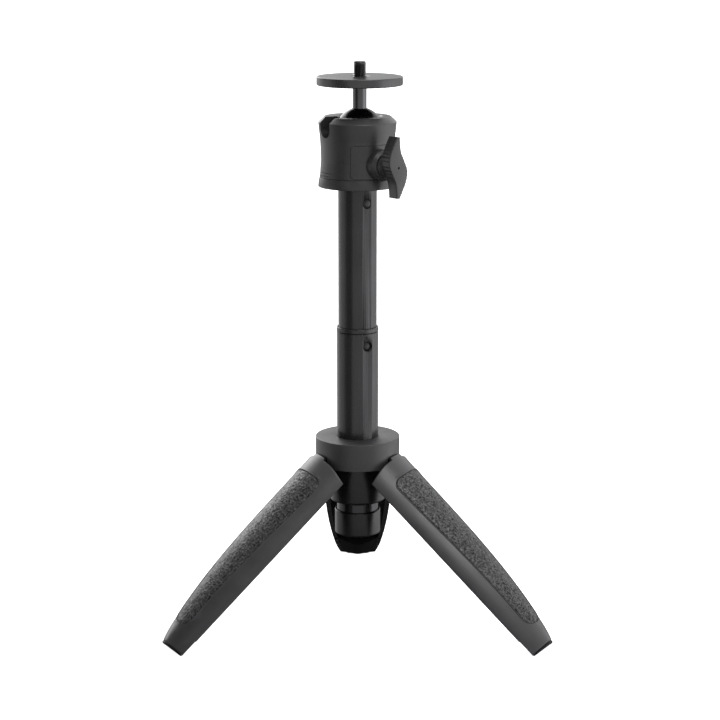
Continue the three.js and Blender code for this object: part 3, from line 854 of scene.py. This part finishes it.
def liner(name):
    """The black lining with its zigzag ribs, and the arm that carries the hinge's lug."""
    start, outer, thickness = 1.5, SKIN + 0.3, 1.0
    place = leg_frame(name)
    half = [math.radians(a) for a in (0, 8, 16, 24, 32, 40, 48, 51.6, 53.5, 56, 58.9)]
    angles = [-a for a in reversed(half)] + half[1:]

    def lining(i, j, layer):
        wrap = 1.1 if abs(angles[i]) > LINER_HALF else 0.0
        distance = start + wrap * 2 + (LINER_END - start - wrap * 2) * j / 40
        return leg_point(distance, angles[i], outer - wrap + layer * (thickness + wrap))

    piece = sheet(f"{name}_liner_body", len(angles), 41, lining, place)
    parts = []
    for k in range(10):
        side = 1 if k % 2 else -1
        parts.append(rib(name, k, start + 3 + k * RIB_PITCH, side, outer + thickness / 2, thickness))
    parts += [rail(name, side, outer + thickness / 2) for side in (-1, 1)]
    hinge = hinge_of(name)
    drop, reach = hinge.z - LEG_TOP, hinge.xy.length
    arm = rounded([
        (reach, drop + 2.3, 0), (15.8, drop + 0.8, 0.5), (17.2, 4.3, 1), (17.2, -2.6, 0),
        (16.2, -2.6, 0), (16.2, 1.0, 1), (13.5, 4.5, 1), (11.9, 6.0, 0),
    ])
    parts.append(loft(f"arm_{name}", [[(x, y, z) for x, z in arm] for y in (-3.9, 3.9)], place))
    across = place @ Matrix.Translation((reach, 0, drop)) @ Matrix.Rotation(math.pi / 2, 4, "X")
    lug = rounded([(1.5, -3.9, 0), (2.4, -3.9, 0.2), (2.4, 3.9, 0.2), (1.5, 3.9, 0)])
    parts.append(revolve(f"lug_{name}", lug, across, 40))
    return join(piece, *parts)


SOLE_START = 89.6
SOLE_NOSE, SOLE_CLEARANCE = 2.3, 0.15
SOLE_LEAN = 0.5  # how much more the sole's crown leans out over its rolled end


def sole_sheet(label, stations, place):
    """A length of the sole, by (distance, depth, lean): the leg's arc outside, a wedge inside."""

    def point(i, j, layer):
        distance, depth, lean = stations[j]
        radius = handle_radius(min(distance, LEG_LENGTH)) - depth
        half = HALF_ANGLE - depth / radius
        angle = half * (i / 20 - 1)
        x, y = radius * math.cos(angle), radius * math.sin(angle)
        edge = radius * math.cos(half)
        longer = 0.0
        if layer == 0:
            longer = lean * (x - edge) / (radius - edge)
        else:
            wedge = math.hypot(y / SEAM_SLOPE, SOLE_NOSE)
            x = min(wedge + SOLE_CLEARANCE + depth * 0.15, edge)
        x, y, z = drawn_in(x, y, distance)
        return on_floor((x, y, z - longer), place)

    return sheet(label, 41, len(stations), point, place)


def foot(name):
    """The rubber sole: a blunt wedge that closes the leg's end, flat where it stands."""
    place = leg_frame(name)
    band_start, inside = LEG_LENGTH - FOOT_BAND, SKIN + 0.3
    spacing = [SOLE_START + 0.5 + (band_start - SOLE_START) * k / 8 for k in range(9)]
    plug = [(SOLE_START, inside + 0.5, 0), (SOLE_START + 0.15, inside + 0.15, 0)]
    plug += [(distance, inside, 0) for distance in spacing]
    piece = sole_sheet(f"{name}_sole", plug, place)
    band = [(band_start, 0.35, 0), (band_start + 0.08, 0.06, 0), (band_start + 0.2, 0, 0.1)]
    for k in range(7):
        turn = math.pi / 2 * k / 6
        rolled = 0.4 * (1 - math.cos(turn))
        band.append((LEG_LENGTH - 0.4 + 0.4 * math.sin(turn), rolled, 0.2 + SOLE_LEAN * k / 6))
    return join(piece, sole_sheet(f"{name}_band", band, place))


for seed, leg in enumerate(LEG_NAMES):
    show(shell(leg), f"{leg}_leg", "leg_shell", SHELL, f"{leg}_leg_shell")
    show(grip_pad(leg, seed * 40.0), f"{leg}_leg", "grip", GRIP, f"{leg}_leg_grip_pad")
    show(liner(leg), f"{leg}_leg", "black_moulding", INNER, f"{leg}_leg_liner")
    show(foot(leg), f"{leg}_leg", "foot", SOLE, f"{leg}_leg_foot")

# ---------------- column

LOWER_RADIUS = width("lower_tube") / 2
UPPER_RADIUS = 8.86
UPPER_HOLE = middle("upper_lock_button").z
LOWER_HOLE = middle("lower_lock_button").z
UPPER_HOLE_RADIUS, LOWER_HOLE_RADIUS = 2.2, 2.4
LOWER_INNER, UPPER_INNER = 9.01, 8.01


def hole(height, radius):
    """A tool for a button hole through the tube's front wall."""
    near, far = 5, 12
    outline = [(0, near), (radius, near), (radius, far), (0, far)]
    return revolve("hole", outline, outward(BUTTON_AZIMUTH, height), 48)


def lower_tube():
    """The lower tube, with a button hole and a small three-cornered dent beside it."""
    top, bottom = high("lower_tube"), low("lower_tube")
    outline = rounded([
        (LOWER_INNER, bottom, 0.1), (LOWER_RADIUS, bottom, 0.1), (LOWER_RADIUS, top, 0.1),
        (LOWER_INNER, top, 0.1),
    ])
    piece = revolve("lower_tube_body", outline, steps=160)
    mark = [(0, LOWER_HOLE + 3.1), (-0.55, LOWER_HOLE + 4.1), (0.55, LOWER_HOLE + 4.1)]
    loops = [[(x, y - LOWER_HOLE, z) for x, y in mark] for z in (LOWER_RADIUS - 0.25, LOWER_RADIUS + 1)]
    dent = loft("mark", loops, outward(BUTTON_AZIMUTH - 0.1, LOWER_HOLE))
    return soften(cut(piece, hole(LOWER_HOLE, LOWER_HOLE_RADIUS), dent), 0.08)


def rim():
    bottom, top = low("lower_tube_rim"), high("lower_tube_rim")
    outer = width("lower_tube_rim") / 2
    return revolve("rim_ring", rounded([
        (LOWER_INNER, bottom, 0.1), (outer, bottom, 0.25), (outer, top, 0.35), (LOWER_INNER, top, 0.2),
    ]))


def stop_cap():
    bottom, top = low("column_end_cap"), high("column_end_cap")
    radius = width("column_end_cap") / 2
    return revolve("end_cap_body", rounded([
        (0, bottom + 0.4, 0), (6.5, bottom + 0.4, 0.2), (7.0, bottom, 0.2), (radius, bottom, 0.9),
        (radius, top, 0.4), (9.75, top, 0.1), (9.75, bottom + 1.4, 0), (0, bottom + 1.4, 0),
    ], closed=False))


LANDS = [(-80, -55), (-42, -28), (-17, 17), (39, 66)]  # degrees from the front


def slide_ring(name, height_in, proud, sunk):
    """A split ring on the tube above the end cap: raised lands, sunk between them."""
    bottom, top = high("column_end_cap") + 0.1 + height_in, high("column_end_cap") + 4.0 - height_in

    def lands(radius, height, angle):
        front = (math.degrees(angle) + 90 + 180) % 360 - 180
        behind = (front + 360) % 360 - 180
        raised = any(first < turn < last for turn in (front, behind) for first, last in LANDS)
        return radius if raised or radius < LOWER_RADIUS + proud else LOWER_RADIUS + sunk

    inner, outer = LOWER_RADIUS + 0.002, LOWER_RADIUS + proud
    outline = [(inner, bottom), (outer, bottom), (outer, top), (inner, top)]
    return revolve(name, outline, steps=240, radius_at=lands)


def upper_tube():
    top, bottom = high("upper_tube"), low("upper_tube")
    outline = rounded([
        (UPPER_INNER, bottom, 0.1), (UPPER_RADIUS, bottom, 0.1), (UPPER_RADIUS, top, 0.1),
        (UPPER_INNER, top, 0.1),
    ])
    piece = revolve("upper_tube_body", outline, steps=160)
    return soften(cut(piece, *(hole(height, UPPER_HOLE_RADIUS) for height in (UPPER_HOLE, LOWER_HOLE))), 0.08)


def button(level, height):
    """A push button with a softly domed face and a flange behind the tube's wall."""
    outline = rounded([
        (0, 5.0, 0), (1.4, 5.0, 0.1), (1.4, 6.6, 0), (2.9, 6.6, 0.1), (2.9, 7.3, 0.1), (2.05, 7.3, 0),
        (2.05, 8.42, 0.3), (0.9, 8.66, 0.6), (0, 8.68, 0),
    ], closed=False)
    return revolve(f"{level}_button_body", outline, outward(BUTTON_AZIMUTH, height), 64)


show(lower_tube(), "lower_column", "tube", TUBE, "lower_tube")
show(rim(), "lower_column", "tube", TUBE, "lower_tube_rim")
show(stop_cap(), "lower_column", "black_moulding", BLACK, "column_end_cap")
show(slide_ring("slide_ring", 0.25, 0.05, 0.01), "lower_column", "steel", SPLIT_RING)
# Painted shade: a black sleeve under the split ring, seen in the shallow gaps between its lands and along its
# edges.
show(slide_ring("slide_ring_slot_shade", 0.0, 0.03, 0.03), "lower_column", "black_moulding", BLACK)
show(upper_tube(), "upper_column", "tube", TUBE, "upper_tube")
show(button("upper", UPPER_HOLE), "upper_button", "black_moulding", BLACK, "upper_lock_button")
show(button("lower", LOWER_HOLE), "lower_button", "black_moulding", BLACK, "lower_lock_button")

# ---------------- head

WALL = [(17.15, 209.7), (17.0, 211.4), (16.6, 216.5), (16.65, 221.0), (16.95, 226.5), (17.8, 234.2)]
HEAD_TOP = 236.7
SLOT_HALF, SLOT_CENTRE = 4.0, 231.6
SLOT_AZIMUTH = math.radians(210)
PANEL = (math.radians(-100.7), math.radians(-3.0), 210.0, 225.0)


def wall_radius(height):
    radii, heights = zip(*WALL)
    return float(np.interp(height, heights, radii))


def foot_ring():
    """The flared ring under the housing, a little over the tube."""
    bottom, top = low("head_foot"), high("head_foot")
    return revolve("head_foot_body", rounded([
        (10.13, bottom, 0.2), (17.9, bottom, 0.4), (17.7, bottom + 2.2, 0), (17.22, top + 0.06, 0.05),
        (8.97, top + 0.06, 0), (8.97, bottom + 1.3, 0), (10.13, bottom + 1.3, 0),
    ]), steps=180)


def panel_outline():
    """The panel's outline as (angle, height), with rounded corners."""
    first, last, bottom, top = PANEL
    nominal = 16.8
    left, right, corner = first * nominal, last * nominal, 2.2
    smooth = rounded([
        (left, bottom, corner), (right, bottom, corner), (right, top, corner), (left, top, corner),
    ], steps=8)
    outline = []
    for k, start in enumerate(smooth):
        end = smooth[(k + 1) % len(smooth)]
        pieces = max(1, round((end - start).length / 1.2))
        outline += [start.lerp(end, step / pieces) for step in range(pieces)]
    return outline, nominal


def panel_groove_tool():
    """A closed band along the panel's outline, to cut its groove."""
    outline, nominal = panel_outline()
    half_width, depth = 0.17, 0.4
    inner, outer = inset(outline, half_width), inset(outline, -half_width)
    points = []
    for near, far in zip(inner, outer):
        for spot, lift in ((near, -depth), (near, 1.5), (far, 1.5), (far, -depth)):
            radius = wall_radius(spot.y) + lift
            angle = spot.x / nominal
            points.append((radius * math.cos(angle), radius * math.sin(angle), spot.y))
    return from_points("panel_groove", points, ring_faces(len(outline), 4), COLUMN)


def groove_tool(height, first, last):
    """A thin wedge along part of the wall, from one angle to another, to cut a fine line."""
    start, end = math.radians(first), math.radians(last)
    profile = [(-0.3, 0.0), (0.6, 0.34), (0.6, -0.34)]
    loops = []
    for k in range(41):
        angle = start + (end - start) * k / 40
        fade = min(1.0, k / 5, (40 - k) / 5)
        loop = []
        for out, up in profile:
            lift = out if out > 0 else out * fade + 0.05 * (1 - fade)
            radius = wall_radius(height) + lift
            loop.append((radius * math.cos(angle), radius * math.sin(angle), height + up))
        loops.append(loop)
    return loft("groove", loops, COLUMN)


def housing():
    """The waisted housing: bevelled top, ball cavity, side slot, fine lines and panel groove."""
    outline = rounded([
        (0, 209.62, 0), (17.16, 209.62, 0.05), (17.0, 211.4, 0), (16.6, 216.5, 3), (16.65, 221.0, 3),
        (16.95, 226.5, 3), (17.8, 234.2, 0.5), (15.05, HEAD_TOP, 0.5), (0, HEAD_TOP, 0),
    ], closed=False)
    piece = revolve("ball_housing_body", outline, steps=216)
    bx, bz = BALL_CENTRE.x - AXIS.x, BALL_CENTRE.z
    arc = [math.radians(a) for a in range(-90, 91, 6)]
    cavity = revolve("cavity", [(11.6 * math.cos(a), bz + 11.6 * math.sin(a)) for a in arc], STUD_AXIS, 96)
    mouth = revolve("mouth", [
        (0, HEAD_TOP - 4), (9.4, HEAD_TOP - 4), (9.4, HEAD_TOP - 0.9), (10.4, HEAD_TOP + 0.1),
        (10.4, HEAD_TOP + 1), (0, HEAD_TOP + 1),
    ], STUD_AXIS, 96)
    chamber = revolve("chamber", [(0, 211.3), (12.6, 211.3), (12.6, bz - 5), (0, bz - 5)], COLUMN, 96)
    bolt = revolve("bolt", [(0, 209), (3.3, 209), (3.3, 212), (0, 212)], COLUMN, 48)
    bore = revolve("bore", [(0, 8), (2.9, 8), (2.9, 20), (0, 20)], KNOB, 48)
    slot_place = Matrix.Translation(Vector((bx, 0, 0)) * MM) @ outward(SLOT_AZIMUTH, SLOT_CENTRE)
    turns = [math.pi + math.pi * k / 24 for k in range(25)]
    profile = [(SLOT_HALF * math.cos(t), SLOT_HALF * math.sin(t)) for t in turns]
    profile += [(SLOT_HALF, 12), (-SLOT_HALF, 12)]
    slot = loft("slot", [[(x, y, z) for x, y in profile] for z in (2, 26)], slot_place)
    for tool in (cavity, mouth, chamber, bolt, slot, bore):
        cut(piece, tool)
    soften(piece, 0.16)
    for height in (210.5, 211.9):
        cut(piece, groove_tool(height, 100, 232))
    return cut(piece, panel_groove_tool())


def knob_collar():
    """The round collar that the knob turns against, cut to the housing's wall."""
    collar_end = 20.6
    outline = rounded([
        (2.9, 13.5, 0), (7.0, 13.5, 0), (7.0, 18.9, 0.9), (5.7, collar_end, 0.5), (2.9, collar_end, 0),
    ])
    piece = revolve("knob_collar_body", outline, KNOB, 96)
    wall = [(0, 205), (18.2, 205)] + [(r + 0.1, z) for r, z in WALL] + [(0, 234.2)]
    return cut(piece, revolve("wall_tool", wall, COLUMN, 144))


def wing_outline(count=28):
    """The two-winged outline, seen from outside: one side by points, the other by symmetry."""
    side = [(0.75, -13.75), (2.6, -10.6), (4.6, -6.2), (5.3, -1.6), (3.6, 2.9), (1.5, 7.4), (0.8, 13.8)]
    path = [Vector(p) for p in side]
    curve = []
    for k in range(len(path) - 1):
        p0, p1, p2, p3 = path[max(k - 1, 0)], path[k], path[k + 1], path[min(k + 2, len(path) - 1)]
        for step in range(count):
            t = step / count
            curve.append(0.5 * (2 * p1 + (p2 - p0) * t + (2 * p0 - 5 * p1 + 4 * p2 - p3) * t ** 2
                                + (3 * p1 - p0 - 3 * p2 + p3) * t ** 3))
    return curve + [-p for p in curve]


def ribbed(curve):
    """Small soft finger ribs along the outline's convex edges."""
    count = len(curve)
    result = []
    length = 0.0
    for k, point in enumerate(curve):
        along = curve[(k + 1) % count] - curve[k - 1]
        length += along.length / 2
        normal = Vector((along.y, -along.x)).normalized()
        grip = max(0.0, min(1.0, (abs(point.x) - 1.8) / 1.5))
        result.append(point + normal * 0.07 * grip * (math.cos(2 * math.pi * length / 1.75) - 1))
    return result


def knob_wing():
    """The winged knob: ribbed rim, rounded edges, a waisted hub behind and a centre dimple."""
    side = ribbed(wing_outline())
    back, face, edge = 23.7, 29.7, 0.45
    turns = [math.pi / 2 * k / 4 for k in range(5)]
    levels = [(back + edge - edge * math.sin(t), edge * (1 - math.cos(t))) for t in reversed(turns)]
    levels += [(face - edge + edge * math.sin(t), edge * (1 - math.cos(t))) for t in turns]
    points = [(p.x, p.y, z) for z, amount in levels for p in inset(side, amount)]
    count, half = len(side), len(side) // 2
    faces = side_faces(len(levels), count)
    for first in (0, (len(levels) - 1) * count):
        for k in range(half - 1):
            faces.append((first + k, first + k + 1, first + count - 2 - k, first + count - 1 - k))
    piece = from_points("knob_wing_body", points, faces, KNOB)
    dimple = revolve("dimple", rounded([
        (0, face - 0.6, 0), (0.55, face - 0.6, 0), (0.6, face + 1, 0), (0, face + 1, 0),
    ]), KNOB, 24)
    cut(piece, dimple)
    hub = revolve("hub", rounded([
        (2.7, 20.9, 0), (5.3, 20.9, 0.3), (4.7, 22.3, 0.8), (5.1, 24.2, 0), (2.7, 24.2, 0),
    ]), KNOB, 72)
    return join(piece, hub)


show(foot_ring(), "upper_column", "housing", HEAD, "head_foot")
show(housing(), "head", "housing", HEAD, "ball_housing")
show(knob_collar(), "head", "knob", WING, "knob_collar")
show(knob_wing(), "knob", "knob", WING, "knob_wing")

# ---------------- ball, stud and plate

STUD_RADIUS = 3.15


def ball():
    radius, centre = 11.2, BALL_CENTRE.z
    arc = [math.radians(-90 + 180 * k / 60) for k in range(61)]
    outline = [(radius * math.cos(a), centre + radius * math.sin(a)) for a in arc]
    piece = revolve("ball_body", outline, STUD_AXIS, 120)
    socket = revolve("socket", [(0, 232.3), (3.33, 232.3), (3.33, 250), (0, 250)], STUD_AXIS, 64)
    return soften(cut(piece, socket), 0.15)


def plate():
    bottom, top = low("camera_plate"), high("camera_plate")
    radius = width("camera_plate") / 2
    outline = rounded([
        (3.35, bottom, 0.2), (radius, bottom, 0.5), (radius, top, 0.4), (radius - 1.2, top, 0),
        (4.6, top, 0.1), (4.4, top - 0.12, 0), (3.35, top - 0.12, 0.1),
    ])
    return revolve("camera_plate_body", outline, STUD_AXIS, 200)


def stud():
    """The stem, and above the plate a real helical thread with a chamfered tip."""
    bottom, top = low("camera_stud"), high("camera_stud")
    start = high("camera_plate") - 0.3
    pitch, depth = 0.95, 0.55
    heights = [bottom, bottom + 0.3, start - 1.0, start]
    rows = round((top - start) / pitch * 12)
    heights += [start + (top - start) * k / rows for k in range(1, rows + 1)]
    outline = [(0, bottom)] + [(STUD_RADIUS, z) for z in heights] + [(2.2, top), (0, top)]

    def threaded(radius, height, angle):
        if radius == 0 or height <= start or radius < STUD_RADIUS:
            return radius if radius < STUD_RADIUS or height > bottom else radius - 0.2
        phase = (height / pitch - angle / (2 * math.pi)) % 1.0
        cut_in = depth * (1 - abs(2 * phase - 1)) ** 0.8
        fade = min(1.0, (height - start) / 0.4)
        chamfer = STUD_RADIUS - max(0.0, height - (top - 0.7)) * 0.9
        return min(radius - cut_in * fade, chamfer)

    return revolve("camera_stud_body", outline, STUD_AXIS, 72, radius_at=threaded)


show(ball(), "ball", "ball", BALL_BLACK, "ball")
show(plate(), "camera_mount", "plate", DISC, "camera_plate")
show(stud(), "camera_mount", "steel", STEEL, "camera_stud")

# ---------------- CAD pieces that keep their shape

KEPT = {
    "guide_bush": BLACK, "upper_tube_glide": BLACK, "tube_top_plug": BLACK, "ball_seat": BLACK,
    "brake_wedge": BLACK, "pan_bolt": STEEL, "knob_screw": STEEL, "upper_button_spring": STEEL,
    "lower_button_spring": STEEL, "rear_hinge_pin": STEEL, "left_hinge_pin": STEEL,
    "right_hinge_pin": STEEL,
}
for node, material in KEPT.items():
    piece = frame["nodes"][node]
    piece.data.materials.clear()
    piece.data.materials.append(material)
